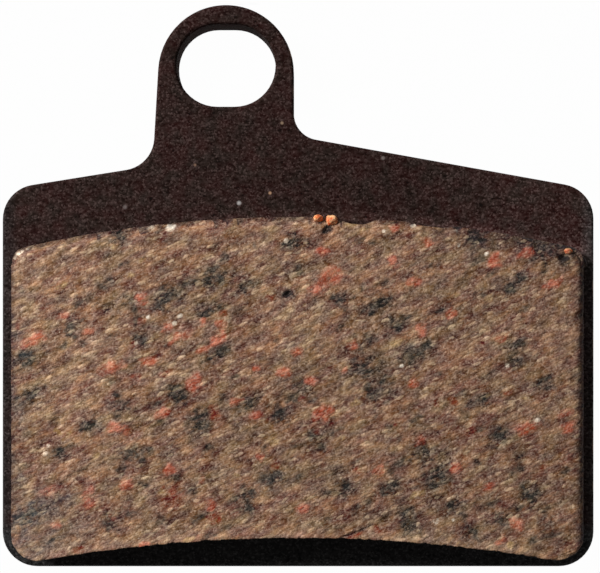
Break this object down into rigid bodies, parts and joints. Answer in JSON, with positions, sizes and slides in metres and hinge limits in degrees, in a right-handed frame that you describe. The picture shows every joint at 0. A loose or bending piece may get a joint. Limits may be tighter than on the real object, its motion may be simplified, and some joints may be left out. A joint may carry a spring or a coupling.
{
  "type": "bicycle disc brake pad",
  "caption": "Flat steel backing plate with an offset pin ear and an oblong eye, carrying a bonded friction block with a convex upper edge and a hollow lower edge.",
  "frame": {"origin": "middle of the oblong pin eye, on the backing plate's back face", "axes": "+Z through the pin eye from the back face towards the friction face, +Y from the plate's body towards the ear, +X along the plate's width, towards its longer shoulder"},
  "size_m": [0.028, 0.0266, 0.004],
  "materials": {
    "backing_plate": "matte",
    "friction_block": "matte"
  },
  "bodies": {
    "root": {"backing_plate": "backing_plate", "friction_block": "friction_block"}
  },
  "joints": []
}
